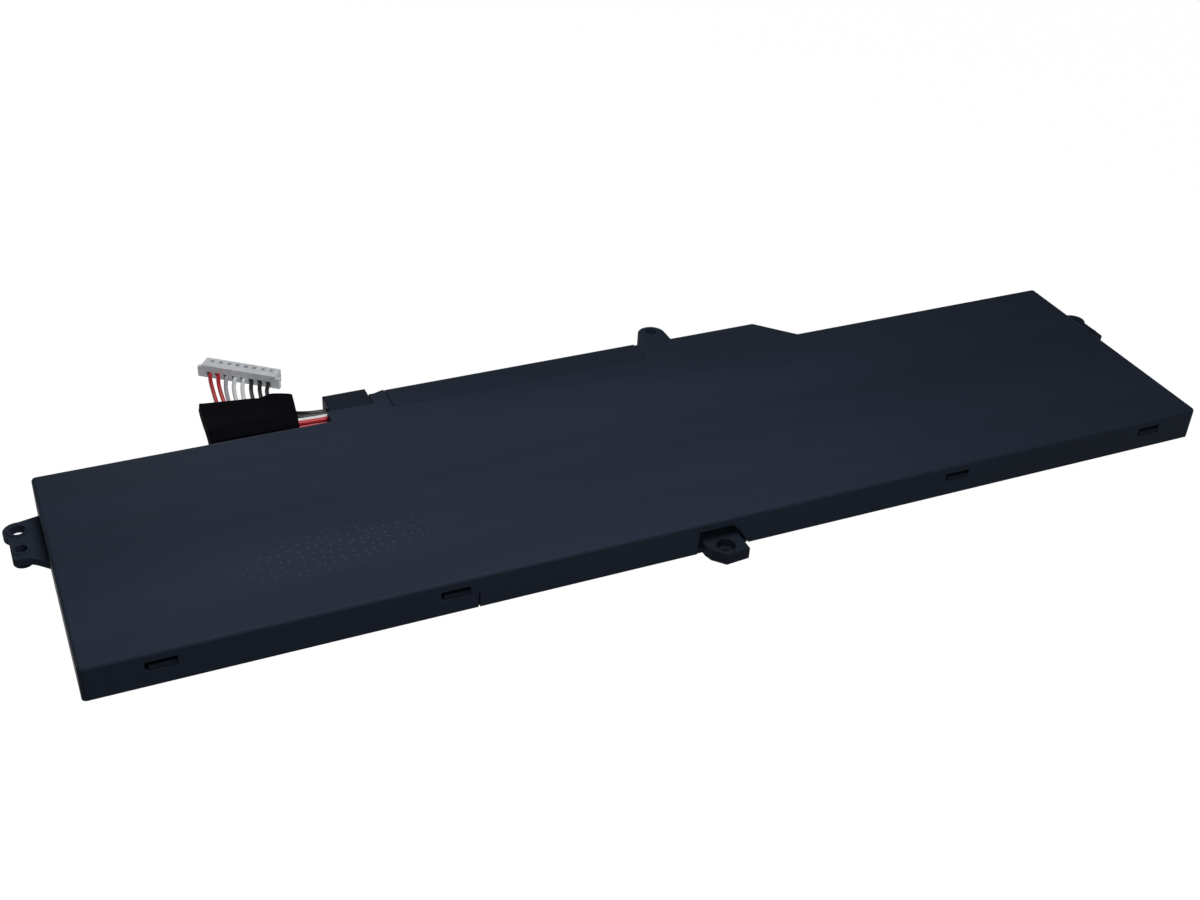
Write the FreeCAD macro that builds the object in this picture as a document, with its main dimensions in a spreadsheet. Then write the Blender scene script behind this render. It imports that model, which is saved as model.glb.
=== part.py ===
import FreeCAD, Part
import math
import os
import re

import Sketcher

# A flat laptop battery pack with three pouch cells, a protection board in a bump-out
# at the back and a short harness of eight wires with a white plug. Millimetres.
# The origin is the centre of the bottom face, +X along the length, +Y to the back, +Z up.

Vector = FreeCAD.Vector

SAME = 1e-6     # closer than this, two places are one
WAYS = 8        # wires, and contacts in the plug

# Driving dimensions: each one is a cell of the sheet named Sizes.
SIZES = {
    # case as a whole
    "pack_length": 264.0,
    "pack_width": 64.8,
    "pack_height": 8.0,
    "wall": 1.0,
    "roof": 1.0,
    "floor_plate": 1.0,
    "tray_wall": 0.8,
    "edge_round": 0.8,
    "corner_round": 1.0,
    "bay_edge_round": 0.5,
    "shell_gap": 0.15,
    "lid_gap": 0.1,
    "cut_margin": 1.0,
    # bump-out for the board, at the back
    "bay_depth": 8.0,
    "bay_left": 66.0,
    "bay_lip": 3.9,
    "bay_right": 56.2,
    "strip_left": 50.9,
    "strip_right": 14.5,
    "strip_front": 1.0,
    "strip_depth": 8.8,
    "strip_rib": 0.8,
    "strip_rib_drop": 0.8,
    "strip_slant": 2.7,
    "notch_depth": 7.9,
    "block_left": 65.3,
    "block_right": 54.9,
    "block_depth": 10.8,
    "exit_depth": 8.4,
    "exit_bottom": 3.95,
    "exit_height": 2.3,
    # screw ears at both ends, measured out from the end wall
    "ear_top": 4.0,
    "ear_thickness": 1.7,
    "ear_lobe": 3.0,
    "ear_reach": 6.85,
    "ear_corner_round": 1.1,
    "ear_back": 23.5,
    "ear_front": 9.5,
    "ear_neck": 3.3,
    "ear_neck_round": 4.0,
    "ear_flare": 6.4,
    "ear_screw_out": 4.75,
    "ear_screw_y": 19.5,
    "ear_screw_hole": 3.2,
    "ear_pin_out": 4.8,
    "ear_pin_y": 12.8,
    "ear_pin_hole": 2.6,
    "ear_pin_wall": 0.7,
    "ear_pin_bottom": 0.6,
    "ear_ring": 0.6,
    "ear_ring_height": 0.2,
    # rear lug, a full-height post behind the bay
    "rear_lug_x": 21.0,
    "rear_lug_width": 7.0,
    "rear_lug_reach": 7.4,
    "rear_screw_x": 21.3,
    "rear_screw_reach": 5.0,
    "rear_screw_hole": 2.9,
    # front lug of the tray, and the cut-out in the cover's wall that it leaves through
    "front_lug_height": 2.7,
    "front_lug_left": 2.7,
    "front_lug_right": 5.9,
    "front_lug_shoulder": 2.9,
    "front_lug_tip": 0.3,
    "front_lug_reach": 5.5,
    "front_lug_rake": 0.5,
    "front_screw_x": 1.5,
    "front_screw_reach": 2.3,
    "front_screw_hole": 4.2,
    "cutout_left": 4.0,
    "cutout_right": 8.5,
    "cutout_top_right": 4.2,
    "cutout_height": 5.8,
    "cutout_chamfer": 1.4,
    # snap windows in the front and back walls, and the latches behind them
    "window_width": 6.2,
    "window_bottom": 3.7,
    "window_height": 2.2,
    "window_one": -117.0,
    "window_two": -58.8,
    "window_three": 62.4,
    "window_four": 118.1,
    "back_window_one": -117.0,
    "back_window_two": -80.0,
    "back_window_three": 76.0,
    "back_window_four": 118.0,
    "latch_gap": 0.7,
    "latch_head": 1.0,
    "latch_sit": 0.1,
    "latch_lip": 0.7,
    "latch_setback": 0.15,
    # slit in the front wall
    "slit_x": -53.8,
    "slit_width": 0.35,
    "slit_height": 3.5,
    "slit_depth": 0.5,
    # cells and what holds them
    "adhesive": 0.3,
    "foam": 0.3,
    "cell_end_gap": 1.15,
    "cell_front_gap": 0.55,
    "cell_corner": 2.5,
    "cell_edge": 0.8,
    "rib": 0.8,
    "rib_gap": 1.05,
    "rib_height": 5.0,
    "rib_end": 4.0,
    "pad_margin": 8.0,
    "terrace": 2.9,
    "terrace_thickness": 0.5,
    "terrace_inset": 4.0,
    # nickel links and the tabs they are welded to
    "link_zone": 3.45,
    "link_end_gap": 0.45,
    "link_seat": 0.2,
    "link_thickness": 0.15,
    "tab_width": 5.0,
    "near_tab": 24.0,
    "far_tab": 18.0,
    "middle_tab": 20.0,
    "insulator": 0.1,
    "insulator_margin": 1.5,
    "tongue_width": 3.0,
    "tongue_reach": 2.4,
    "outer_tongue_left": 46.0,
    "outer_tongue_right": 40.0,
    # protection board
    "board_level": 3.2,
    "board_thickness": 0.8,
    "board_gap": 0.3,
    "board_front": 0.6,
    "board_right": 44.0,
    "post": 2.0,
    "board_pin": 1.2,
    "board_pin_height": 0.6,
    "pin_gap": 0.1,
    "pin_left": 42.0,
    "pin_right": 34.0,
    # wires, plug and tape: their places are given for a case that ends at harness_edge
    "harness_edge": 32.4,
    "wire": 1.0,
    "solder_height": 0.7,
    "solder_length": 1.0,
    "solder_seat": 0.15,
    "plug_x": -79.75,
    "plug_y": 68.2,
    "plug_turn": -36.4,
    "plug_pitch": 2.2,
    "plug_end": 1.9,
    "plug_depth": 3.8,
    "plug_height": 3.3,
    "plug_flange": 1.0,
    "plug_flange_drop": 0.6,
    "plug_flange_depth": 1.1,
    "cavity": 1.3,
    "cavity_level": 0.95,
    "plug_front_wall": 0.5,
    "mating_hole": 0.7,
    "plug_window": 1.0,
    "plug_window_back": 2.0,
    "terminal_start": 1.3,
    "terminal_gap": 0.1,
    "terminal_wall": 0.2,
    "tape_left": -93.4,
    "tape_left_end": -91.3,
    "tape_right": -70.6,
    "tape_right_start": -73.0,
    "tape_front": 34.6,
    "tape_back": 58.6,
    "tape_dip": 3.4,
    "tape_dip_x": -75.3,
    "tape_lift": 1.0,
    "tape_thickness": 0.35,
    "tape_top": 6.9,
    "tape_shoulder": 40.5,
    "tape_knee": 47.5,
    "tape_knee_height": 4.6,
    "tape_back_height": 2.0,
    "tape_underside": 3.4,
    "tape_bend": 43.0,
    "tape_bend_height": 2.6,
    "tape_landing": 50.0,
}

# Places worked out from the sizes.
PLACES = {
    "half_length": "pack_length / 2",
    "half_width": "pack_width / 2",
    "mitre": "(sqrt(2) - 1)",
    "under_roof": "pack_height - roof",
    "tray_inset": "wall + shell_gap",
    "tray_inner": "tray_inset + tray_wall",
    "tray_top": "under_roof - lid_gap",
    "bay_back": "half_width + bay_depth",
    "lip_back": "half_width + bay_lip",
    "block_front": "lip_back + shell_gap",
    "block_back": "half_width + block_depth",
    "strip_back": "half_width + strip_depth",
    "strip_edge": "half_width + strip_front",
    "notch_back": "half_width + notch_depth",
    "ear_bottom": "ear_top - ear_thickness",
    "ear_screw_x": "half_length + ear_screw_out",
    "ear_pin_x": "half_length + ear_pin_out",
    "ear_outer": "half_length + ear_reach",
    "mid_wall": "half_length - wall / 2",
    "cell_floor": "floor_plate + adhesive",
    "cell_top": "under_roof - foam",
    "cell_length": "(pack_length - 2 * tray_inner - 2 * cell_end_gap - 2 * rib_zone) / 3",
    "rib_zone": "rib + 2 * rib_gap",
    "cell_pitch": "cell_length + rib_zone",
    "cell_front": "half_width - tray_inner - cell_front_gap",
    "cell_back": "half_width - tray_inner - link_zone - terrace",
    "terrace_end": "cell_back + terrace",
    "link_front": "terrace_end + link_seat",
    "link_back": "half_width - tray_inner - link_end_gap",
    "board_top": "board_level + board_thickness",
    "board_edge": "half_width + board_front",
    "lower_link": "board_top",
    "insulator_level": "lower_link + link_thickness",
    "upper_tab": "insulator_level + insulator",
    "upper_link": "upper_tab + link_thickness",
    "tongue_end": "board_edge + tongue_reach",
    "harness_shift": "half_width - harness_edge",
    "plug_length": f"{WAYS - 1} * plug_pitch + 2 * plug_end",
}

WORD = re.compile(r"[a-z_]+")

doc = FreeCAD.newDocument("LaptopBattery")
sheet = doc.addObject("Spreadsheet::Sheet", "Sizes")
for row, (alias, number) in enumerate(SIZES.items(), start=1):
    sheet.set(f"A{row}", alias)
    sheet.set(f"B{row}", str(number))
    sheet.setAlias(f"B{row}", alias)
doc.recompute()

nodes = {}


def formula(text):
    """An expression in sizes and places, spelled out in cells of the sheet."""
    while any(word in PLACES for word in WORD.findall(text)):
        text = WORD.sub(lambda word: f"({PLACES[word[0]]})" if word[0] in PLACES else word[0], text)
    return WORD.sub(lambda word: f"Sizes.{word[0]}" if word[0] in SIZES else word[0], text)


def value(text):
    """The number that an expression has now."""
    return float(sheet.evalExpression(formula(str(text))))


def bind(feature, **properties):
    """Bind a feature's properties to expressions."""
    for name, text in properties.items():
        feature.setExpression(name, formula(text))


def keep(feature, node):
    """Make a feature a sub-part under its node name."""
    feature.Label = node
    nodes[node] = feature
    return feature


# Sketches and features

def new_body(name):
    return doc.addObject("PartDesign::Body", name)


def origin_plane(body, role):
    return next(item for item in body.Origin.OriginFeatures if item.Role == role)


def rectangle(x_low, y_low, x_high, y_high):
    return [(x_low, y_low), (x_high, y_low), (x_high, y_high), (x_low, y_high)]


def block_at(x_centre, width, y_low, y_high):
    return rectangle(f"{x_centre} - ({width}) / 2", y_low, f"{x_centre} + ({width}) / 2", y_high)


def circle(x, y, diameter):
    return (x, y, diameter)


def draw_outline(sketch, points):
    """A closed outline whose corners are each held by two expressions."""
    corners = [Vector(value(x), value(y), 0) for x, y in points]
    first = sketch.GeometryCount
    count = len(corners)
    for index in range(count):
        sketch.addGeometry(Part.LineSegment(corners[index], corners[(index + 1) % count]))
    for index in range(count):
        after = first + (index + 1) % count
        line = first + index
        sketch.addConstraint(Sketcher.Constraint("Coincident", line, 2, after, 1))
        across = Sketcher.Constraint("DistanceX", -1, 1, line, 1, corners[index].x)
        sketch.setExpression(f"Constraints[{sketch.addConstraint(across)}]", formula(points[index][0]))
        along = Sketcher.Constraint("DistanceY", -1, 1, line, 1, corners[index].y)
        sketch.setExpression(f"Constraints[{sketch.addConstraint(along)}]", formula(points[index][1]))


def draw_circle(sketch, x, y, diameter):
    """A circle held by its centre and its diameter."""
    centre = Vector(value(x), value(y), 0)
    ring = sketch.addGeometry(Part.Circle(centre, Vector(0, 0, 1), value(diameter) / 2))
    across = Sketcher.Constraint("DistanceX", -1, 1, ring, 3, centre.x)
    sketch.setExpression(f"Constraints[{sketch.addConstraint(across)}]", formula(x))
    along = Sketcher.Constraint("DistanceY", -1, 1, ring, 3, centre.y)
    sketch.setExpression(f"Constraints[{sketch.addConstraint(along)}]", formula(y))
    size = Sketcher.Constraint("Diameter", ring, value(diameter))
    sketch.setExpression(f"Constraints[{sketch.addConstraint(size)}]", formula(diameter))


def new_sketch(body, name, role, level, loops):
    """A sketch on an origin plane of its body, moved along the plane's normal to a level."""
    sketch = body.newObject("Sketcher::SketchObject", name)
    sketch.AttachmentSupport = [(origin_plane(body, role), "")]
    sketch.MapMode = "FlatFace"
    sketch.setExpression("AttachmentOffset.Base.z", formula(level))
    for loop in loops:
        if isinstance(loop, tuple):
            draw_circle(sketch, *loop)
        else:
            draw_outline(sketch, loop)
    return sketch


def pad(body, name, role, level, length, *loops):
    feature = body.newObject("PartDesign::Pad", name)
    feature.Profile = new_sketch(body, name + "Sketch", role, level, loops)
    bind(feature, Length=length)
    doc.recompute()
    return feature


def pocket(body, name, role, level, length, *loops, along_normal=True):
    """Cut from a level, along the plane's normal or against it."""
    before = body.Tip.Shape.Volume
    feature = body.newObject("PartDesign::Pocket", name)
    feature.Profile = new_sketch(body, name + "Sketch", role, level, loops)
    feature.Reversed = along_normal
    bind(feature, Length=length)
    doc.recompute()
    if feature.Shape.Volume >= before:
        raise RuntimeError(f"{name} cuts nothing")
    return feature


def edges_where(shape, test):
    return [f"Edge{number}" for number, edge in enumerate(shape.Edges, start=1) if test(edge)]


def fillet(body, name, radius, test):
    """Round the edges of the tip that pass a test."""
    base = body.Tip
    feature = body.newObject("PartDesign::Fillet", name)
    feature.Base = (base, edges_where(base.Shape, test))
    bind(feature, Radius=radius)
    doc.recompute()
    return feature


def chamfer(body, name, size, test):
    """Bevel the edges of the tip that pass a test."""
    base = body.Tip
    feature = body.newObject("PartDesign::Chamfer", name)
    feature.Base = (base, edges_where(base.Shape, test))
    bind(feature, Size=size)
    doc.recompute()
    return feature


def is_vertical(edge):
    start, end = edge.Vertexes[0].Point, edge.Vertexes[-1].Point
    return math.hypot(end.x - start.x, end.y - start.y) < SAME and abs(end.z - start.z) > SAME


def lies_at_height(edge, height):
    return all(abs(vertex.Z - height) < SAME for vertex in edge.Vertexes)


def stands_at(edge, x, y):
    middle = edge.CenterOfMass
    return is_vertical(edge) and math.hypot(middle.x - x, middle.y - y) < SAME


def box(name, low, high):
    """A Part box between two corners given as expressions."""
    solid = doc.addObject("Part::Box", name)
    for side, start, end in zip(("Length", "Width", "Height"), low, high):
        solid.setExpression(side, formula(f"({end}) - ({start})"))
    for letter, start in zip("xyz", low):
        solid.setExpression(f"Placement.Base.{letter}", formula(start))
    return solid


def plate_box(name, x_centre, length, y_low, y_high, z_low, z_high):
    half = f"({length}) / 2"
    return box(name, (f"{x_centre} - {half}", y_low, z_low), (f"{x_centre} + {half}", y_high, z_high))


def group(name, solids):
    compound = doc.addObject("Part::Compound", name)
    compound.Links = solids
    return compound


# Upper case

def cover_outline():
    """Plan of the upper case: the slab with its bump-out, cut back where the strip and block sit."""
    return [
        ("-half_length", "-half_width"),
        ("half_length", "-half_width"),
        ("half_length", "half_width"),
        ("bay_right", "half_width"),
        ("bay_right - bay_depth", "bay_back"),
        ("strip_right", "bay_back"),
        ("strip_right", "strip_edge"),
        ("-strip_left - shell_gap", "strip_edge"),
        ("-strip_left - shell_gap", "strip_back"),
        ("-strip_left - strip_slant", "notch_back"),
        ("-block_right", "notch_back"),
        ("-block_right", "lip_back"),
        ("-bay_left", "lip_back"),
        ("-bay_left", "half_width"),
        ("-half_length", "half_width"),
    ]


def cover_cavity():
    """Plan of the hollow: a wall in from the outline, and past it where the tray has the wall."""
    return [
        ("-half_length + wall", "-half_width + wall"),
        ("half_length - wall", "-half_width + wall"),
        ("half_length - wall", "half_width - wall"),
        ("bay_right - wall * mitre", "half_width - wall"),
        ("bay_right - bay_depth - wall * mitre", "bay_back - wall"),
        ("strip_right - cut_margin", "bay_back - wall"),
        ("strip_right - cut_margin", "strip_edge + cut_margin"),
        ("-strip_left + cut_margin", "strip_edge + cut_margin"),
        ("-strip_left + cut_margin", "strip_back + cut_margin"),
        ("-block_right - cut_margin", "strip_back + cut_margin"),
        ("-block_right - cut_margin", "lip_back + cut_margin"),
        ("-bay_left + wall", "lip_back + cut_margin"),
        ("-bay_left + wall", "half_width - wall"),
        ("-half_length + wall", "half_width - wall"),
    ]


def ear_plate():
    """The left ear in plan: slanted back edge, square front corner and a flare at the wall."""
    return [
        ("-mid_wall", "ear_back"),
        ("-ear_screw_x + ear_lobe / 5", "ear_screw_y + ear_lobe"),
        ("-ear_screw_x - ear_lobe / 2", "ear_screw_y"),
        ("-ear_outer", "ear_screw_y - ear_lobe * 0.8"),
        ("-ear_outer", "ear_front"),
        ("-half_length - ear_neck", "ear_front"),
        ("-half_length", "ear_flare"),
        ("-mid_wall", "ear_flare"),
    ]


def front_cutout():
    """The cut-out over the front lug: upright on the left, slanted on the right."""
    return [
        ("-cutout_left", "-cut_margin"),
        ("cutout_right", "-cut_margin"),
        ("cutout_right", "0"),
        ("cutout_top_right + cutout_chamfer", "cutout_height - cutout_chamfer"),
        ("cutout_top_right", "cutout_height"),
        ("-cutout_left", "cutout_height"),
    ]


def window(centre):
    return block_at(centre, "window_width", "window_bottom", "window_bottom + window_height")


def make_top_cover():
    body = new_body("TopCover")
    pad(body, "CoverBlock", "XY_Plane", "0", "pack_height", cover_outline())
    half_length, half_width = value("half_length"), value("half_width")
    fillet(body, "CoverCorners", "corner_round", lambda edge: is_vertical(edge) and any(
        stands_at(edge, x, y) for x in (-half_length, half_length) for y in (-half_width, half_width)))
    height = value("pack_height")
    fillet(body, "CoverEdge", "edge_round", lambda edge: lies_at_height(edge, height)
           and (abs(edge.CenterOfMass.x) > half_length - value("corner_round")
                or edge.CenterOfMass.y < -half_width + value("corner_round")))
    pocket(body, "CoverHollow", "XY_Plane", "0", "under_roof", cover_cavity())
    pad(body, "EarPlate", "XY_Plane", "ear_bottom", "ear_thickness", ear_plate())
    pad(body, "EarLobe", "XY_Plane", "ear_bottom", "ear_thickness",
        circle("-ear_screw_x", "ear_screw_y", "2 * ear_lobe"))
    pad(body, "EarRings", "XY_Plane", "ear_top", "ear_ring_height",
        circle("-ear_screw_x", "ear_screw_y", "ear_screw_hole + 2 * ear_ring"),
        circle("-ear_pin_x", "ear_pin_y", "ear_pin_hole + 2 * ear_ring"))
    pad(body, "EarPinBoss", "XY_Plane", "ear_pin_bottom", "ear_bottom - ear_pin_bottom",
        circle("-ear_pin_x", "ear_pin_y", "ear_pin_hole + 2 * ear_pin_wall"))
    mirrored = body.newObject("PartDesign::Mirrored", "RightEar")
    mirrored.Originals = [doc.EarPlate, doc.EarLobe, doc.EarRings, doc.EarPinBoss]
    mirrored.MirrorPlane = (origin_plane(body, "YZ_Plane"), [""])
    body.Tip = mirrored
    doc.recompute()
    outer, front, neck = value("ear_outer"), value("ear_front"), value("half_length + ear_neck")
    fillet(body, "EarCorners", "ear_corner_round",
           lambda edge: stands_at(edge, -outer, front) or stands_at(edge, outer, front))
    fillet(body, "EarNecks", "ear_neck_round",
           lambda edge: stands_at(edge, -neck, front) or stands_at(edge, neck, front))
    lug_low, lug_high = "rear_lug_x - rear_lug_width / 2", "rear_lug_x + rear_lug_width / 2"
    lug_end = "bay_back + rear_lug_reach"
    pad(body, "RearLug", "XY_Plane", "0", "pack_height",
        rectangle(lug_low, "bay_back - wall / 2", lug_high, lug_end))
    end, low, high = value(lug_end), value(lug_low), value(lug_high)
    fillet(body, "RearLugEnd", "rear_lug_width * 0.49",
           lambda edge: stands_at(edge, low, end) or stands_at(edge, high, end))
    pocket(body, "ScrewHoles", "XY_Plane", "0", "pack_height",
           circle("-ear_screw_x", "ear_screw_y", "ear_screw_hole"),
           circle("ear_screw_x", "ear_screw_y", "ear_screw_hole"),
           circle("-ear_pin_x", "ear_pin_y", "ear_pin_hole"),
           circle("ear_pin_x", "ear_pin_y", "ear_pin_hole"),
           circle("rear_screw_x", "bay_back + rear_screw_reach", "rear_screw_hole"))
    pocket(body, "FrontWindows", "XZ_Plane", "half_width - wall - cut_margin", "wall + 2 * cut_margin",
           window("window_one"), window("window_two"), window("window_three"), window("window_four"),
           front_cutout())
    pocket(body, "FrontSlit", "XZ_Plane", "half_width - slit_depth", "slit_depth + cut_margin",
           block_at("slit_x", "slit_width", "-cut_margin", "slit_height"))
    pocket(body, "BackWindows", "XZ_Plane", "-half_width - cut_margin", "wall + 2 * cut_margin",
           window("back_window_one"), window("back_window_two"),
           window("back_window_three"), window("back_window_four"))
    keep(body, "top_cover")


# Lower case

def tray_outline(inset, own_inset):
    """Plan of the tray: inside the cover's walls, and out to its own walls at the strip and block."""
    step = f"strip_right - shell_gap - {own_inset}"
    return [
        (f"-half_length + {inset}", f"-half_width + {inset}"),
        (f"half_length - {inset}", f"-half_width + {inset}"),
        (f"half_length - {inset}", f"half_width - {inset}"),
        (f"bay_right - ({inset}) * mitre", f"half_width - {inset}"),
        (f"bay_right - bay_depth - ({inset}) * mitre", f"bay_back - ({inset})"),
        (step, f"bay_back - ({inset})"),
        (step, f"strip_back - {own_inset}"),
        (f"-strip_left - shell_gap", f"strip_back - {own_inset}"),
        (f"-strip_left - strip_slant", f"notch_back - {own_inset}"),
        (f"-block_right - {own_inset}", f"notch_back - {own_inset}"),
        (f"-block_right - {own_inset}", f"block_back - {own_inset}"),
        (f"-block_left + {own_inset}", f"block_back - {own_inset}"),
        (f"-block_left + {own_inset}", f"block_front + {own_inset}"),
        (f"-bay_left + {inset}", f"block_front + {own_inset}"),
        (f"-bay_left + {inset}", f"half_width - {inset}"),
        (f"-half_length + {inset}", f"half_width - {inset}"),
    ]


def front_lug():
    """The front lug in plan: a pointed nose, left of the middle, between slanted sides."""
    root = "-half_width + tray_inset + tray_wall / 2"
    return [
        ("-front_lug_left", root),
        ("-front_lug_left", "-half_width - front_lug_shoulder / 3"),
        ("-front_lug_left * 0.8", "-half_width - front_lug_shoulder"),
        ("front_lug_tip", "-half_width - front_lug_reach"),
        ("front_lug_right", "-half_width - front_lug_reach + front_lug_rake"),
        ("front_lug_right", root),
    ]


def latch_profile(side):
    """Section of a snap latch: a flat catch below, a lip, and a ramp up to the tray's wall."""
    face = f"{side} * (half_width - tray_inset)"
    root = f"{side} * (half_width - tray_inner)"
    tip = f"{side} * (half_width - latch_setback)"
    catch = "window_bottom + latch_sit"
    return [
        (root, catch),
        (tip, catch),
        (tip, f"{catch} + latch_lip"),
        (face, "window_bottom + window_height - latch_head"),
        (root, "window_bottom + window_height - latch_head"),
    ]


def make_bottom_tray():
    body = new_body("BottomTray")
    pad(body, "TrayPlate", "XY_Plane", "0", "floor_plate", tray_outline("tray_inset", "0"))
    pad(body, "TrayWall", "XY_Plane", "floor_plate", "tray_top - floor_plate",
        tray_outline("tray_inset", "0"), tray_outline("tray_inner", "tray_wall"))
    pad(body, "BlockRoof", "XY_Plane", "tray_top", "pack_height - (tray_top)",
        rectangle("-block_left", "block_front", "-block_right", "block_back"))
    block_front, height = value("block_front"), value("pack_height")
    fillet(body, "BlockEdges", "bay_edge_round", lambda edge: lies_at_height(edge, height)
           and edge.CenterOfMass.y > block_front + SAME)
    pocket(body, "WireExit", "YZ_Plane", "-bay_left - cut_margin",
           "bay_left - block_left + tray_wall + 2 * cut_margin",
           rectangle("block_front", "exit_bottom", "half_width + exit_depth", "exit_bottom + exit_height"))
    for side, place in ((-1, "window"), (1, "back_window")):
        for number in ("one", "two", "three", "four"):
            left = f"{place}_{number} - window_width / 2 + latch_gap"
            pad(body, f"Latch_{place}_{number}", "YZ_Plane", left, "window_width - 1.2 * latch_gap",
                latch_profile(side))
    pad(body, "FrontLug", "XY_Plane", "0", "front_lug_height", front_lug())
    pocket(body, "FrontScrewHole", "XY_Plane", "0", "front_lug_height",
           circle("front_screw_x", "-half_width - front_screw_reach", "front_screw_hole"))
    ribs = [block_at(f"{side} * cell_pitch / 2", "rib", "-cell_front + rib_end", "cell_back - rib_end")
            for side in (-1, 1)]
    pad(body, "CellRibs", "XY_Plane", "floor_plate", "rib_height", *ribs)
    posts = [block_at(x, "post", "board_edge + post / 2", "board_edge + post * 3 / 2")
             for x in ("-bay_left + 3 * post", "-pin_left", "-pin_left / 2", "0", "pin_right / 2",
                       "pin_right")]
    pad(body, "BoardPosts", "XY_Plane", "floor_plate", "board_level - floor_plate", *posts)
    pins = [circle(x, "board_edge + post", "board_pin") for x in ("-pin_left", "pin_right")]
    pad(body, "BoardPins", "XY_Plane", "board_level", "board_thickness + board_pin_height", *pins)
    keep(body, "bottom_tray")


def make_board_cover():
    """The strip over the board bay, with a rib below that finds the tray's wall."""
    body = new_body("BoardCover")
    left, right = "-strip_left + shell_gap / 2", "strip_right - shell_gap"
    pad(body, "StripPlate", "XY_Plane", "under_roof", "roof",
        rectangle(left, "strip_edge + shell_gap", right, "strip_back"))
    back, height = value("strip_back"), value("pack_height")
    fillet(body, "StripEdge", "bay_edge_round", lambda edge: lies_at_height(edge, height)
           and abs(edge.CenterOfMass.y - back) < SAME)
    rib_back = "strip_back - tray_wall - shell_gap"
    pad(body, "StripRib", "XY_Plane", "under_roof - strip_rib_drop", "strip_rib_drop",
        rectangle(f"{left} + tray_wall + shell_gap", f"{rib_back} - strip_rib",
                  f"{right} - tray_wall - shell_gap", rib_back))
    keep(body, "board_cover")


# Cells

CELLS = {"left": "-1", "middle": "0", "right": "1"}


def make_cell(name, side):
    """A pouch cell: a slab with soft edges and the thin sealed terrace that its tabs leave."""
    centre = f"{side} * cell_pitch"
    body = new_body("Cell" + name.title())
    pad(body, f"Pouch_{name}", "XY_Plane", "cell_floor", "cell_top - (cell_floor)",
        block_at(centre, "cell_length", "-cell_front", "cell_back"))
    fillet(body, f"PouchCorners_{name}", "cell_corner", is_vertical)
    levels = value("cell_floor"), value("cell_top")
    chamfer(body, f"PouchEdges_{name}", "cell_edge",
            lambda edge: any(lies_at_height(edge, level) for level in levels))
    pad(body, f"Terrace_{name}", "XY_Plane", "board_top", "terrace_thickness",
        block_at(centre, "cell_length - 2 * terrace_inset", "cell_back - cell_edge", "terrace_end"))
    keep(body, f"cell_{name}")
    for node, low, high in (("adhesive_pad", "floor_plate", "cell_floor"), ("foam_pad", "cell_top", "under_roof")):
        pad_box = plate_box(f"{node}_{name}", centre, "cell_length - 2 * pad_margin",
                            "-cell_front + pad_margin", "cell_back - pad_margin", low, high)
        keep(pad_box, f"{node}_{name}")


# Each tab's centre along X: the outer cells have one near the board and one far from it.
TABS_ALUMINIUM = (("-cell_pitch - far_tab", "insulator_level"),
                  ("middle_tab", "insulator_level"),
                  ("cell_pitch - near_tab", "upper_tab"))
TABS_NICKEL = (("-cell_pitch + near_tab", "upper_tab"),
               ("-middle_tab", "insulator_level"),
               ("cell_pitch + far_tab", "insulator_level"))


def make_tabs():
    for node, tabs in (("cell_tabs_aluminium", TABS_ALUMINIUM), ("cell_tabs_nickel", TABS_NICKEL)):
        strips = [plate_box(f"{node}_{index}", centre, "tab_width", "terrace_end", "link_back",
                            level, f"{level} + link_thickness")
                  for index, (centre, level) in enumerate(tabs)]
        keep(group(node, strips), node)


def make_link(node, start, end, tongue, level):
    """A nickel link along the row of tabs, with a tongue that lands on the board."""
    low, high = f"{tongue} - tongue_width / 2", f"{tongue} + tongue_width / 2"
    if value(start) < value(end):
        outline = [(start, "link_front"), (end, "link_front"), (end, "link_back"), (high, "link_back"),
                   (high, "tongue_end"), (low, "tongue_end"), (low, "link_back"), (start, "link_back")]
    else:
        outline = [(end, "link_front"), (start, "link_front"), (start, "link_back"), (high, "link_back"),
                   (high, "tongue_end"), (low, "tongue_end"), (low, "link_back"), (end, "link_back")]
    body = new_body(node)
    pad(body, node + "_strip", "XY_Plane", level, "link_thickness", outline)
    keep(body, node)


def make_links():
    overlap = "tab_width / 2"
    outer_end = "outer_tongue_left - tongue_width"
    make_link("link_pack_negative", f"-cell_pitch + near_tab - {overlap}", f"-({outer_end})",
              "-outer_tongue_left", "upper_link")
    make_link("link_tap_one", f"-cell_pitch - far_tab - {overlap}", f"-middle_tab + {overlap}",
              "-middle_tab", "lower_link")
    make_link("link_tap_two", f"cell_pitch + far_tab + {overlap}", f"middle_tab - {overlap}",
              "middle_tab", "lower_link")
    make_link("link_pack_positive", f"cell_pitch - near_tab + {overlap}",
              "outer_tongue_right - tongue_width", "outer_tongue_right", "upper_link")
    films = [box(f"film_{index}", (low, "link_front", "insulator_level"), (high, "link_back", "upper_tab"))
             for index, (low, high) in enumerate((
                 ("-cell_pitch + near_tab - tab_width / 2 - insulator_margin", f"-({outer_end})"),
                 ("outer_tongue_right - tongue_width", "cell_pitch - near_tab + tab_width / 2 + insulator_margin")))]
    keep(group("link_insulators", films), "link_insulators")


# Protection board

def board_outline():
    """Plan of the board: it fills the bay, with a wide head in the block where the wires land."""
    step = "strip_right - shell_gap - tray_wall - board_gap"
    notch = "notch_back - tray_wall - board_gap"
    head = "-block_right - tray_wall - board_gap"
    left = "-bay_left + tray_inner + board_gap"
    return [
        (left, "board_edge"),
        ("board_right", "board_edge"),
        ("board_right", "bay_back - (tray_inner) - board_gap"),
        (step, "bay_back - (tray_inner) - board_gap"),
        (step, "strip_back - tray_wall - board_gap"),
        ("-strip_left + tray_wall", "strip_back - tray_wall - board_gap"),
        ("-strip_left + tray_wall", notch),
        (head, notch),
        (head, "block_back - tray_wall - board_gap"),
        (left, "block_back - tray_wall - board_gap"),
    ]


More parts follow.
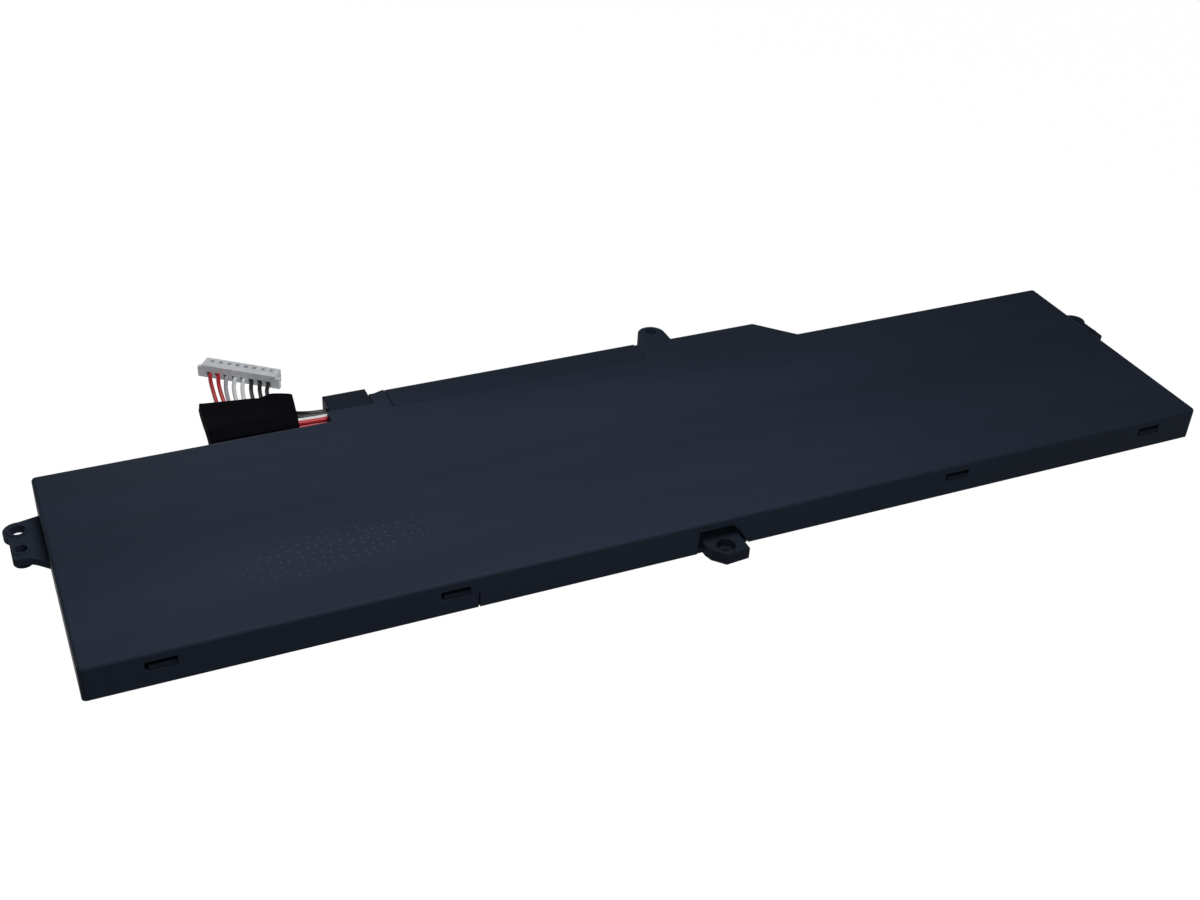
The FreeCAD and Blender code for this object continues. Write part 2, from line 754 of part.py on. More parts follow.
# Parts on the board: place along X, distance in from its front edge, length, width and height.
CHIPS = {
    "gauge_chip": (-30.0, 4.0, 5.0, 4.4, 0.9),
    "mosfet_1": (16.0, 2.9, 4.9, 3.9, 1.1),
    "mosfet_2": (27.0, 2.9, 4.9, 3.9, 1.1),
}
PLAIN_PARTS = {
    "chemical_fuse": (8.5, 3.9, 4.0, 3.0, 1.2),
    "sense_resistor": (-0.5, 4.3, 6.4, 3.2, 0.6),
    "thermistor": (-8.0, 1.2, 1.6, 0.8, 0.6),
}
CAPACITOR = (1.6, 0.8, 0.8)
CAPACITOR_COLUMNS = (-38.0, -35.5, -24.5, -22.0, -17.0, -14.5, -12.0, -9.5)
CAPACITOR_ROWS = (3.4, 5.2)
DIMPLE_DEPTH = 0.1


def part_on_board(name, x, setback, length, width, height):
    return plate_box(name, x, length, f"board_edge + {setback - width / 2}",
                     f"board_edge + {setback + width / 2}", "board_top", f"board_top + {height}")


def chip_on_board(name, x, setback, length, width, height):
    """A moulded chip with a shallow dimple at its first contact."""
    chip = doc.addObject("Part::Cut", name)
    chip.Base = part_on_board(name + "_body", x, setback, length, width, height)
    dimple = doc.addObject("Part::Cylinder", name + "_dimple")
    dimple.Radius = width / 10
    dimple.Height = height
    bind(dimple, **{"Placement.Base.x": str(x - length / 3),
                    "Placement.Base.y": f"board_edge + {setback - width / 3}",
                    "Placement.Base.z": f"board_top + {height - DIMPLE_DEPTH}"})
    chip.Tool = dimple
    return chip


def make_protection_board():
    body = new_body("ProtectionBoard")
    pad(body, "BoardPlate", "XY_Plane", "board_level", "board_thickness", board_outline())
    holes = [circle(x, "board_edge + post", "board_pin + 2 * pin_gap") for x in ("-pin_left", "pin_right")]
    pocket(body, "BoardPinHoles", "XY_Plane", "board_level", "board_thickness", *holes)
    keep(body, "protection_board")
    chips = {name: chip_on_board(name, *numbers) for name, numbers in CHIPS.items()}
    keep(chips["gauge_chip"], "gauge_chip")
    keep(group("mosfets", [chips["mosfet_1"], chips["mosfet_2"]]), "mosfets")
    for name, numbers in PLAIN_PARTS.items():
        keep(part_on_board(name, *numbers), name)
    capacitors = [part_on_board(f"capacitor_{x}_{row}", x, row, *CAPACITOR)
                  for row in CAPACITOR_ROWS for x in CAPACITOR_COLUMNS]
    keep(group("capacitors", capacitors), "capacitors")


# Wires, with the route of each from its solder joint to its contact in the plug.
# They lie in four pairs side by side at the exit, one of each pair over the other,
# turn to the back under the tape and fan out to the contacts.
WIRE_ROUTES = {
    "wire_red_1": [(-61.2, 36.97, 4.55), (-68.0, 36.99, 4.55), (-79.0, 37.3, 4.5), (-85.9, 43.6, 3.4),
                   (-87.6, 51.2, 1.6), (-87.8, 64.6, 0.95), (-87.02, 71.33, 0.9), (-85.24, 73.74, 0.95)],
    "wire_red_2": [(-56.9, 36.98, 4.6), (-60.8, 36.99, 5.64), (-68.0, 36.97, 5.62), (-77.4, 37.6, 5.6),
                   (-83.9, 43.4, 4.3), (-85.9, 50.8, 2.3), (-86.1, 63.5, 1.0), (-85.25, 70.03, 0.9),
                   (-83.47, 72.44, 0.95)],
    "wire_grey": [(-61.2, 38.04, 4.55), (-68.0, 38.06, 4.55), (-76.9, 38.4, 4.5), (-82.9, 44.2, 3.3),
                  (-84.8, 51.0, 1.5), (-84.45, 62.4, 1.0), (-83.48, 68.72, 0.9), (-81.70, 71.13, 0.95)],
    "wire_white_1": [(-56.9, 38.05, 4.6), (-60.8, 38.06, 5.64), (-68.0, 38.04, 5.62), (-75.2, 38.6, 5.6),
                     (-81.0, 43.9, 4.3), (-83.1, 50.6, 2.3), (-82.9, 61.2, 1.05), (-81.71, 67.42, 0.9),
                     (-79.93, 69.83, 0.95)],
    "wire_white_2": [(-61.2, 39.11, 4.55), (-67.6, 39.13, 4.55), (-74.6, 39.5, 4.5), (-79.9, 44.6, 3.3),
                     (-81.5, 51.0, 1.5), (-81.2, 60.0, 1.0), (-79.94, 66.11, 0.9), (-78.16, 68.52, 0.95)],
    "wire_black_1": [(-56.9, 39.12, 4.6), (-60.8, 39.13, 5.64), (-67.4, 39.11, 5.62), (-73.0, 39.8, 5.6),
                     (-77.7, 44.4, 4.2), (-79.3, 50.4, 2.2), (-79.2, 58.6, 1.05), (-78.17, 64.81, 0.9),
                     (-76.39, 67.22, 0.95)],
    "wire_black_2": [(-61.2, 40.18, 4.55), (-66.6, 40.2, 4.55), (-71.9, 40.7, 4.4), (-76.0, 45.0, 3.1),
                     (-77.4, 50.8, 1.5), (-77.3, 57.2, 1.0), (-76.40, 63.50, 0.9), (-74.62, 65.91, 0.95)],
    "wire_black_3": [(-56.9, 40.19, 4.6), (-60.8, 40.2, 5.64), (-66.2, 40.18, 5.62), (-70.4, 41.0, 5.5),
                     (-73.9, 45.0, 4.1), (-75.3, 50.2, 2.1), (-76.0, 56.3, 1.05), (-74.63, 62.20, 0.9),
                     (-72.85, 64.61, 0.95)],
}


SECTION_SIDES = 8


def wire_path(points):
    """Straight runs joined by tangent arcs, each arc as large as its two runs allow."""
    edges, radii = [], []
    here = points[0]
    for before, corner, after in zip(points, points[1:], points[2:]):
        into, out = corner - before, after - corner
        turn = into.getAngle(out)
        setback = 0.45 * min(into.Length, out.Length)
        start = corner - into.normalize() * setback
        end = corner + out.normalize() * setback
        radius = setback / math.tan(turn / 2)
        to_centre = (end - corner).normalize() + (start - corner).normalize()
        centre = corner + to_centre.normalize() * math.hypot(radius, setback)
        middle = centre + (corner - centre).normalize() * radius
        edges.append(Part.LineSegment(here, start).toShape())
        edges.append(Part.Arc(start, middle, end).toShape())
        radii.append(radius)
        here = end
    edges.append(Part.LineSegment(here, points[-1]).toShape())
    return Part.Wire(edges), radii


def wire_section(start, direction):
    """The plain eight-sided section that stands for the round wire: its corners lie on the circle."""
    corner = value("wire") / 2
    across = direction.cross(Vector(0, 0, 1)).normalize()
    up = across.cross(direction).normalize()
    turns = [2 * math.pi * (side + 0.5) / SECTION_SIDES for side in range(SECTION_SIDES)]
    corners = [start + across * (corner * math.cos(turn)) + up * (corner * math.sin(turn)) for turn in turns]
    return Part.makePolygon(corners + corners[:1])


def make_wire(node, route):
    """One wire along its route. Its volume is compared with section times length."""
    shift = value("harness_shift")
    points = [Vector(x, y + shift, z) for x, y, z in route]
    path, radii = wire_path(points)
    section = wire_section(points[0], points[1] - points[0])
    tube = path.makePipeShell([section], True, False)
    expected = Part.Face(section).Area * path.Length
    print(f"{node}: length {path.Length:.1f} mm, radii", " ".join(f"{size:.1f}" for size in radii),
          f"mm, volume over section times length {tube.Volume / expected:.4f}")
    feature = doc.addObject("Part::Feature", node)
    feature.Shape = tube
    keep(feature, node)


def make_solder():
    """Solder at each wire's end, and under the two links that pass over the board's edge."""
    joints = []
    for node, route in WIRE_ROUTES.items():
        x, y, _ = route[0]
        joints.append(box(f"solder_{node}", (f"{x} + solder_seat", f"{y} + harness_shift - wire / 2", "board_top"),
                          (f"{x} + solder_seat + solder_length", f"{y} + harness_shift + wire / 2",
                           "board_top + solder_height")))
    for name, centre in (("solder_negative", "-outer_tongue_left"), ("solder_positive", "outer_tongue_right")):
        joints.append(plate_box(name, centre, "tongue_width", "board_edge + board_gap", "tongue_end",
                                "board_top", "upper_link"))
    keep(group("solder_joints", joints), "solder_joints")


# Plug, modelled with the middle of its rear face at the origin and turned into place

def at_plug(feature):
    feature.Placement.Rotation = FreeCAD.Rotation(Vector(0, 0, 1), value("plug_turn"))
    bind(feature, **{"Placement.Base.x": "plug_x", "Placement.Base.y": "plug_y + harness_shift"})
    return feature


def make_plug():
    """The housing: a wire cavity and a mating hole for each way, and a lock window over each."""
    body = new_body("PlugHousing")
    pad(body, "PlugBlock", "XY_Plane", "0", "plug_height",
        rectangle("-plug_length / 2", "0", "plug_length / 2", "plug_depth"))
    pad(body, "PlugFlange", "XY_Plane", "0", "plug_height - plug_flange_drop",
        rectangle("-plug_length / 2 - plug_flange", "0", "plug_length / 2 + plug_flange",
                  "plug_flange_depth"))
    centres = [f"{way - (WAYS - 1) / 2} * plug_pitch" for way in range(WAYS)]
    pocket(body, "WireCavities", "XZ_Plane", "-(plug_depth - plug_front_wall)", "plug_depth",
           *[block_at(centre, "cavity", "cavity_level - cavity / 2", "cavity_level + cavity / 2")
             for centre in centres])
    pocket(body, "MatingHoles", "XZ_Plane", "-plug_depth - cut_margin", "plug_depth",
           *[block_at(centre, "mating_hole", "cavity_level - mating_hole / 2",
                      "cavity_level + mating_hole / 2") for centre in centres])
    pocket(body, "LockWindows", "XY_Plane", "cavity_level", "plug_height",
           *[block_at(centre, "plug_window", "plug_window_back", "plug_window_back + plug_window")
             for centre in centres])
    keep(at_plug(body), "plug_housing")
    keep(at_plug(group("plug_terminals", [make_contact(way, centre) for way, centre in enumerate(centres)])),
         "plug_terminals")


def make_contact(way, centre):
    """A crimped contact: a folded square sleeve in its cavity, open at the mating end."""
    front = "plug_depth - plug_front_wall"
    sleeve = "cavity / 2 - terminal_gap"
    hollow = "cavity / 2 - terminal_gap - terminal_wall"
    contact = doc.addObject("Part::Cut", f"contact_{way}")
    contact.Base = box(f"contact_sleeve_{way}",
                       (f"{centre} - ({sleeve})", "terminal_start", f"cavity_level - ({sleeve})"),
                       (f"{centre} + {sleeve}", front, f"cavity_level + {sleeve}"))
    contact.Tool = box(f"contact_hollow_{way}",
                       (f"{centre} - ({hollow})", "terminal_start + terminal_wall",
                        f"cavity_level - ({hollow})"),
                       (f"{centre} + {hollow}", f"{front} + cut_margin", f"cavity_level + {hollow}"))
    return contact


# Tape

def tape_profile(inset):
    """Section of the tape over the wires: up at the exit, down to the table at the back."""
    return [
        (f"tape_front + {inset}", f"tape_underside + {inset}"),
        ("tape_bend", f"tape_bend_height + {inset}"),
        ("tape_landing", inset),
        (f"tape_back + 3 * {inset}", inset),
        (f"tape_back + 3 * {inset}", f"tape_back_height - {inset}"),
        ("tape_knee", f"tape_knee_height - {inset}"),
        ("tape_shoulder", f"tape_top - {inset}"),
        (f"tape_front + {inset}", f"tape_top - {inset}"),
    ]


def make_tape():
    """The patch of cloth tape: a flat sleeve over the bend of the wires, open where they leave."""
    body = new_body("HarnessTape")
    pad(body, "TapePatch", "YZ_Plane", "tape_left", "tape_right - (tape_left)", tape_profile("0"))
    back_cut = [
        ("tape_left_end", "tape_back"),
        ("tape_dip_x", "tape_back - tape_dip"),
        ("tape_right + cut_margin", "tape_back - tape_dip + tape_lift"),
        ("tape_right + cut_margin", "tape_back + cut_margin"),
        ("tape_left_end", "tape_back + cut_margin"),
    ]
    left_cut = [
        ("tape_left - cut_margin", "tape_front"),
        ("tape_left", "tape_front"),
        ("tape_left_end", "tape_back"),
        ("tape_left - cut_margin", "tape_back"),
    ]
    pocket(body, "TapeBackEdge", "XY_Plane", "0", "tape_top", back_cut)
    pocket(body, "TapeLeftEdge", "XY_Plane", "0", "tape_top", left_cut)
    right_cut = [
        ("tape_right_start", "tape_front"),
        ("tape_right + cut_margin", "tape_front"),
        ("tape_right + cut_margin", "tape_back"),
        ("tape_right", "tape_back"),
    ]
    pocket(body, "TapeRightEdge", "XY_Plane", "0", "tape_top", right_cut)
    inside = "tape_left_end + 2 * tape_thickness"
    pocket(body, "TapeHollow", "YZ_Plane", inside, f"tape_right + cut_margin - ({inside})",
           tape_profile("tape_thickness"))
    bind(body, **{"Placement.Base.y": "harness_shift"})
    keep(body, "harness_tape")


make_top_cover()
make_bottom_tray()
make_board_cover()
for cell_name, cell_side in CELLS.items():
    make_cell(cell_name, cell_side)
make_tabs()
make_links()
make_protection_board()
for wire_node, wire_route in WIRE_ROUTES.items():
    make_wire(wire_node, wire_route)
make_solder()
make_plug()
make_tape()
doc.recompute()

os.makedirs("parts", exist_ok=True)
for item in doc.Objects:
    if "Invalid" in item.State or "Error" in item.State:
        raise RuntimeError(f"{item.Label} has state {item.State}")
for node, feature in nodes.items():
    shape = feature.Shape
    if shape.isNull() or not shape.isValid() or not shape.Solids:
        raise RuntimeError(f"{node} has no valid solid")
for node, feature in nodes.items():
    feature.Shape.exportStep(f"parts/{node}.step")
print(len(nodes), "nodes written")
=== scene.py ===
import math

import bpy
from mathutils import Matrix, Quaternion, Vector, noise


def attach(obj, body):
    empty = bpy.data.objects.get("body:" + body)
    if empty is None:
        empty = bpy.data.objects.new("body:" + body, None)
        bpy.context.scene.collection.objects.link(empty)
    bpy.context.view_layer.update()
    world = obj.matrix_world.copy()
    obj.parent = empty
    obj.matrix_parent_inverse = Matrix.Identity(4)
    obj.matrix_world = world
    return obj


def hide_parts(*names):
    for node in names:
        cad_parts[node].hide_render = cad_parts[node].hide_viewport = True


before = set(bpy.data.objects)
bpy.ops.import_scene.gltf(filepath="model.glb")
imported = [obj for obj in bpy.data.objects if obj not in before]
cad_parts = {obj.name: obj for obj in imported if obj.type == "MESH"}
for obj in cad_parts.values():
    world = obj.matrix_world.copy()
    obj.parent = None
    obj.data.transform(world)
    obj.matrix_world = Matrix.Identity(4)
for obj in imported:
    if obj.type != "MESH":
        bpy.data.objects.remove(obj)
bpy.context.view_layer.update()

# Looks of a flat laptop battery on a pale studio floor. Metres, in the frame of the solids:
# +X along the case to the right, +Y to the back where the harness is, +Z up.

MM = 0.001

# Camera of the photograph, which shows the case from its front left corner
CAMERA_PLACE = Vector((-0.13849, -0.25884, 0.20386))
CAMERA_AIM = Vector((-0.00766, 0.01114, 0.0))
CAMERA_ROLL = 3.484
CAMERA_LENS = 46.225
CAMERA_NEAR = 10 * MM

# Studio. A camera sees the paper as white by this share, and the rest is its own grey.
FLOOR_SIZE = 6.0
FLOOR_LEVEL = -0.05 * MM
FLOOR_WHITE_SHARE = 0.92
FLOOR_WHITE_STRENGTH = 1.08
# Softboxes: place, the point that each one faces, size in metres and power in watts
SOFTBOXES = {
    "overhead_softbox": ((-0.055, -0.07, 0.2), (-0.055, -0.02, 0.0), 0.15, 0.45),
    "side_softbox": ((0.32, -0.18, 0.12), (0.12, -0.03, 0.0), 0.15, 0.14),
    "back_softbox": ((-0.05, 0.4, 0.07), (0.0, 0.03, 0.0), 0.12, 0.2),
}
ROOM_COLOUR = (0.93, 0.97, 1.0, 1.0)
ROOM_STRENGTH = 0.12

# Patch of pale specks on the top, painted highlight at the brightest part of its sheen: its middle, its
# half length, half width and depth, and its turn
HIGHLIGHT_SPECKS_PLACE = (-0.0775, -0.0135, 0.008)
HIGHLIGHT_SPECKS_SIZE = (0.027, 0.0080, 0.004)
HIGHLIGHT_SPECKS_TURN = 5.0

# Tape: a patch of cloth that lies over the wires' bend. Its folds are heights at places along y.
TAPE_THICKNESS = 0.3 * MM
TAPE_TOP = 6.9 * MM
TAPE_FOLDS = [(0.030, 0.0069), (0.0405, 0.0069), (0.0475, 0.0046), (0.0586, 0.0020), (0.070, 0.0012)]
TAPE_FOLD_REACH = 3.0 * MM
TAPE_FRONT_EDGE = [(-0.0933, 0.0346), (-0.0730, 0.0346)]
TAPE_BACK_EDGE = [(-0.0913, 0.0584), (-0.0800, 0.0561), (-0.0755, 0.0546), (-0.0710, 0.0490)]
TAPE_COLUMNS = 28
TAPE_ROWS = 30
# The flaps at its left and front edges: their drop, their rows, and how far each row leans out
TAPE_FLAP = 2.4 * MM
TAPE_FLAP_ROWS = 2
TAPE_FLAP_LEAN = 0.15 * MM
# The lifted back corner: where it starts, over what width it rises, and how it falls to the back
TAPE_LIFT_START = -0.0775
TAPE_LIFT_WIDTH = 0.006
TAPE_LIFT_FOLD = 0.0405
TAPE_LIFT_FALL = 0.08
# Its wrinkles: height and size
TAPE_WRINKLE = 0.12 * MM
TAPE_WRINKLE_SIZE = 4 * MM

# Sill at the foot of the front cut-out, and the ring in the lug's hole: dark tray plastic put as painted
# shade where the floor would show through
SILL_LOW = (-3.9 * MM, -32.3 * MM, 0.0)
SILL_HIGH = (8.2 * MM, -31.3 * MM, 0.9 * MM)
SILL_EDGE = 0.15 * MM
SHADE_RING_PLACE = (1.5 * MM, -34.7 * MM)
SHADE_RING_RADIUS = 2.12 * MM
SHADE_RING_HOLE = 0.95 * MM
SHADE_RING_HEIGHT = 0.9 * MM

# Wires: each route's points run from the solder in the case to the plug.
WIRE_DIAMETER = 1.0 * MM
WIRE_ROUTES = {
    "wire_red_1": [
        (-0.0612, 0.03697, 0.00455), (-0.068, 0.03699, 0.00455), (-0.079, 0.0373, 0.0045),
        (-0.0859, 0.0436, 0.0034), (-0.0876, 0.0512, 0.0016), (-0.08665, 0.06581, 0.00095),
        (-0.08601, 0.07218, 0.00092), (-0.08524, 0.07374, 0.00095),
    ],
    "wire_red_2": [
        (-0.0569, 0.03698, 0.0046), (-0.0608, 0.03699, 0.00564), (-0.068, 0.03697, 0.00562),
        (-0.0774, 0.0376, 0.0056), (-0.0839, 0.0434, 0.0043), (-0.0859, 0.0508, 0.0023),
        (-0.08514, 0.06454, 0.001), (-0.08426, 0.07088, 0.00092), (-0.08347, 0.07244, 0.00095),
    ],
    "wire_grey": [
        (-0.0612, 0.03804, 0.00455), (-0.068, 0.03806, 0.00455), (-0.0769, 0.0384, 0.0045),
        (-0.0829, 0.0442, 0.0033), (-0.0848, 0.051, 0.0015), (-0.08392, 0.06333, 0.001),
        (-0.08254, 0.06958, 0.00092), (-0.0817, 0.07113, 0.00095),
    ],
    "wire_white_1": [
        (-0.0569, 0.03805, 0.0046), (-0.0608, 0.03806, 0.00564), (-0.068, 0.03804, 0.00562),
        (-0.0752, 0.0386, 0.0056), (-0.081, 0.0439, 0.0043), (-0.0831, 0.0506, 0.0023),
        (-0.08224, 0.06235, 0.00105), (-0.08078, 0.06828, 0.00092), (-0.07993, 0.06983, 0.00095),
    ],
    "wire_white_2": [
        (-0.0612, 0.03911, 0.00455), (-0.0676, 0.03913, 0.00455), (-0.0746, 0.0395, 0.0045),
        (-0.0799, 0.0446, 0.0033), (-0.0815, 0.051, 0.0015), (-0.08033, 0.06152, 0.001),
        (-0.07901, 0.06697, 0.00092), (-0.07816, 0.06852, 0.00095),
    ],
    "wire_black_1": [
        (-0.0569, 0.03912, 0.0046), (-0.0608, 0.03913, 0.00564), (-0.0674, 0.03911, 0.00562),
        (-0.073, 0.0398, 0.0056), (-0.0777, 0.0444, 0.0042), (-0.0793, 0.0504, 0.0022),
        (-0.07842, 0.06064, 0.00105), (-0.07724, 0.06567, 0.00092), (-0.07639, 0.06722, 0.00095),
    ],
    "wire_black_2": [
        (-0.0612, 0.04018, 0.00455), (-0.0666, 0.0402, 0.00455), (-0.0719, 0.0407, 0.0044),
        (-0.076, 0.045, 0.0031), (-0.0774, 0.0508, 0.0015), (-0.07645, 0.05994, 0.001),
        (-0.07546, 0.06436, 0.00092), (-0.07462, 0.06591, 0.00095),
    ],
    "wire_black_3": [
        (-0.0569, 0.04019, 0.0046), (-0.0608, 0.0402, 0.00564), (-0.0662, 0.04018, 0.00562),
        (-0.0704, 0.041, 0.0055), (-0.0739, 0.045, 0.0041), (-0.0753, 0.0502, 0.0021),
        (-0.07505, 0.05918, 0.00105), (-0.07375, 0.06308, 0.00092), (-0.07285, 0.06461, 0.00095),
    ],
}


# Materials

def linear(hex_colour):
    """An sRGB hex colour as the linear colour that a shader takes."""
    parts = [int(hex_colour[i:i + 2], 16) / 255 for i in (1, 3, 5)]
    return (*[part / 12.92 if part <= 0.04045 else ((part + 0.055) / 1.055) ** 2.4 for part in parts], 1.0)


def add_node(owner, kind, inputs=None, **settings):
    """Adds a node to a material or the world. An input is a value, a colour or a node's output."""
    node = owner.node_tree.nodes.new(kind)
    for name, setting in settings.items():
        setattr(node, name, setting)
    for name, given in (inputs or {}).items():
        if isinstance(given, bpy.types.NodeSocket):
            owner.node_tree.links.new(given, node.inputs[name])
        else:
            node.inputs[name].default_value = given
    return node


def new_material(name):
    """An empty material and its output node."""
    material = bpy.data.materials.new(name)
    material.use_nodes = True
    material.node_tree.nodes.clear()
    return material, add_node(material, "ShaderNodeOutputMaterial")


def per_millimetre(size):
    """The Scale of a texture whose pattern has that size in millimetres."""
    return 1 / (size * MM)


def painted_highlight_specks(material, place, colour):
    # Pale specks about 2 mm apart, in a patch on the top, left of the middle: painted highlight at the
    # brightest part of the sheen, drawn as fine specks.
    patch = add_node(material, "ShaderNodeMapping", {
        "Vector": place, "Location": HIGHLIGHT_SPECKS_PLACE, "Scale": HIGHLIGHT_SPECKS_SIZE,
        "Rotation": (0, 0, math.radians(HIGHLIGHT_SPECKS_TURN))}, vector_type="TEXTURE")
    reach = add_node(material, "ShaderNodeVectorMath", {0: patch.outputs["Vector"]}, operation="LENGTH")
    inside = add_node(material, "ShaderNodeMapRange", {"Value": reach.outputs["Value"], "From Min": 1.0,
                                                       "From Max": 0.6})
    specks = add_node(material, "ShaderNodeTexVoronoi", {"Vector": place, "Scale": per_millimetre(2.1),
                                                         "Randomness": 0.75}, voronoi_dimensions="2D")
    speck = add_node(material, "ShaderNodeMapRange", {"Value": specks.outputs["Distance"], "From Min": 0.20,
                                                      "From Max": 0.06, "To Max": 0.05})
    highlight_speck_mask = add_node(material, "ShaderNodeMath", {0: speck.outputs["Result"], 1: inside.outputs["Result"]},
                    operation="MULTIPLY")
    # The specks' pale blue-grey is painted highlight.
    mixed = add_node(material, "ShaderNodeMixRGB", {"Fac": highlight_speck_mask.outputs["Value"], "Color1": colour,
                                                    "Color2": linear("#9AA3B0")})
    return mixed.outputs["Color"]


def moulded_case_plastic(name, shade, dark_shade, highlight_specks):
    # Black ABS and polycarbonate blend from a spark-eroded mould: a fine satin grain that
    # spreads the light into a broad dull sheen, a little bluer than neutral. The tray is drawn
    # darker than the cover as painted shade, for the shadow on the lug's top and on the latches
    # in the windows, and the strip is drawn a little darker than the cover. Only the cover gets
    # the pale specks of painted highlight.
    material, output = new_material(name)
    place = add_node(material, "ShaderNodeTexCoord").outputs["Object"]
    # The real grain is about 0.1 mm, too fine to show, so it is drawn at 0.5 mm.
    grain = add_node(material, "ShaderNodeTexNoise", {"Vector": place, "Scale": per_millimetre(0.5),
                                                      "Detail": 3.0, "Roughness": 0.6})
    # Slow changes in the sheen where the plastic flowed along the case.
    stretch = add_node(material, "ShaderNodeMapping", {"Vector": place, "Scale": (0.12, 1.0, 1.0)})
    flow = add_node(material, "ShaderNodeTexNoise", {"Vector": stretch.outputs["Vector"],
                                                     "Scale": per_millimetre(14), "Detail": 2.0})
    tone = add_node(material, "ShaderNodeValToRGB", {"Fac": flow.outputs["Fac"]})
    tone.color_ramp.elements[0].position = 0.35
    tone.color_ramp.elements[0].color = linear(dark_shade)
    tone.color_ramp.elements[1].position = 0.7
    tone.color_ramp.elements[1].color = linear(shade)
    # The pale specks of painted highlight go on the cover only.
    colour = painted_highlight_specks(material, place, tone.outputs["Color"]) if highlight_specks else tone.outputs["Color"]
    rough = add_node(material, "ShaderNodeMapRange", {"Value": flow.outputs["Fac"], "From Min": 0.3,
                                                      "From Max": 0.7, "To Min": 0.40, "To Max": 0.46})
    bump = add_node(material, "ShaderNodeBump", {"Height": grain.outputs["Fac"], "Strength": 0.25,
                                                 "Distance": 0.02 * MM})
    # Its reflection is kept far below the plastic's own, or the walls would mirror the white
    # paper, which they don't in the photograph.
    shader = add_node(material, "ShaderNodeBsdfPrincipled", {
        "Base Color": colour, "Roughness": rough.outputs["Result"], "IOR": 1.52,
        "Specular IOR Level": 0.015, "Normal": bump.outputs["Normal"]})
    material.node_tree.links.new(shader.outputs["BSDF"], output.inputs["Surface"])
    return material


def extruded_insulation(name, shade, dark_shade):
    # PVC drawn over stranded wire: smooth, with a soft highlight and faint waves of the strands.
    material, output = new_material(name)
    place = add_node(material, "ShaderNodeTexCoord").outputs["Object"]
    waves = add_node(material, "ShaderNodeTexNoise", {"Vector": place, "Scale": per_millimetre(1.5),
                                                      "Detail": 2.0})
    tone = add_node(material, "ShaderNodeValToRGB", {"Fac": waves.outputs["Fac"]})
    tone.color_ramp.elements[0].position = 0.3
    tone.color_ramp.elements[0].color = linear(dark_shade)
    tone.color_ramp.elements[1].position = 0.6
    tone.color_ramp.elements[1].color = linear(shade)
    bump = add_node(material, "ShaderNodeBump", {"Height": waves.outputs["Fac"], "Strength": 0.2,
                                                 "Distance": 0.03 * MM})
    shader = add_node(material, "ShaderNodeBsdfPrincipled", {
        "Base Color": tone.outputs["Color"], "Roughness": 0.42, "IOR": 1.53,
        "Normal": bump.outputs["Normal"]})
    material.node_tree.links.new(shader.outputs["BSDF"], output.inputs["Surface"])
    return material


def moulded_nylon():
    # Natural nylon 66, injection moulded: a milky off-white that lets a little light in.
    material, output = new_material("moulded_natural_nylon")
    place = add_node(material, "ShaderNodeTexCoord").outputs["Object"]
    mottle = add_node(material, "ShaderNodeTexNoise", {"Vector": place, "Scale": per_millimetre(2.0),
                                                       "Detail": 2.0})
    tone = add_node(material, "ShaderNodeValToRGB", {"Fac": mottle.outputs["Fac"]})
    tone.color_ramp.elements[0].position = 0.3
    tone.color_ramp.elements[0].color = linear("#BEC1C6")
    tone.color_ramp.elements[1].position = 0.7
    tone.color_ramp.elements[1].color = linear("#CDD0D5")
    shader = add_node(material, "ShaderNodeBsdfPrincipled", {
        "Base Color": tone.outputs["Color"], "Roughness": 0.4, "IOR": 1.53,
        "Subsurface Weight": 0.15, "Subsurface Scale": 0.3 * MM})
    material.node_tree.links.new(shader.outputs["BSDF"], output.inputs["Surface"])
    return material


def acetate_cloth():
    # Acetate cloth tape: a plain weave that stays dull at every angle, nearly black. The bands of
    # a wave texture repeat at 0.31 of its size, so that 0.9 mm gives threads 0.28 mm apart.
    material, output = new_material("woven_acetate_cloth_tape")
    place = add_node(material, "ShaderNodeTexCoord").outputs["Object"]
    warp = add_node(material, "ShaderNodeTexWave", {
        "Vector": place, "Scale": per_millimetre(0.9), "Distortion": 1.0},
        wave_type="BANDS", bands_direction="X")
    weft = add_node(material, "ShaderNodeTexWave", {
        "Vector": place, "Scale": per_millimetre(0.9), "Distortion": 1.0},
        wave_type="BANDS", bands_direction="Y")
    threads = add_node(material, "ShaderNodeMath", {0: warp.outputs["Fac"], 1: weft.outputs["Fac"]},
                       operation="MULTIPLY")
    tone = add_node(material, "ShaderNodeValToRGB", {"Fac": threads.outputs["Value"]})
    tone.color_ramp.elements[0].color = linear("#09090D")
    tone.color_ramp.elements[1].color = linear("#0E1017")
    bump = add_node(material, "ShaderNodeBump", {"Height": threads.outputs["Value"], "Strength": 0.4,
                                                 "Distance": 0.05 * MM})
    shader = add_node(material, "ShaderNodeBsdfPrincipled", {
        "Base Color": tone.outputs["Color"], "Roughness": 0.85, "IOR": 1.45,
        "Specular IOR Level": 0.01, "Normal": bump.outputs["Normal"]})
    material.node_tree.links.new(shader.outputs["BSDF"], output.inputs["Surface"])
    return material


def rolled_sheet(name, shade, dark_shade, roughness):
    # Rolled metal strip: fine lines along the rolling direction blur the reflection one way.
    material, output = new_material(name)
    place = add_node(material, "ShaderNodeTexCoord").outputs["Object"]
    stretch = add_node(material, "ShaderNodeMapping", {"Vector": place, "Scale": (0.05, 1.0, 1.0)})
    lines = add_node(material, "ShaderNodeTexNoise", {"Vector": stretch.outputs["Vector"],
                                                      "Scale": per_millimetre(0.3), "Detail": 2.0})
    tone = add_node(material, "ShaderNodeValToRGB", {"Fac": lines.outputs["Fac"]})
    tone.color_ramp.elements[0].color = linear(dark_shade)
    tone.color_ramp.elements[1].color = linear(shade)
    shader = add_node(material, "ShaderNodeBsdfPrincipled", {
        "Base Color": tone.outputs["Color"], "Roughness": roughness, "Metallic": 1.0})
    material.node_tree.links.new(shader.outputs["BSDF"], output.inputs["Surface"])
    return material


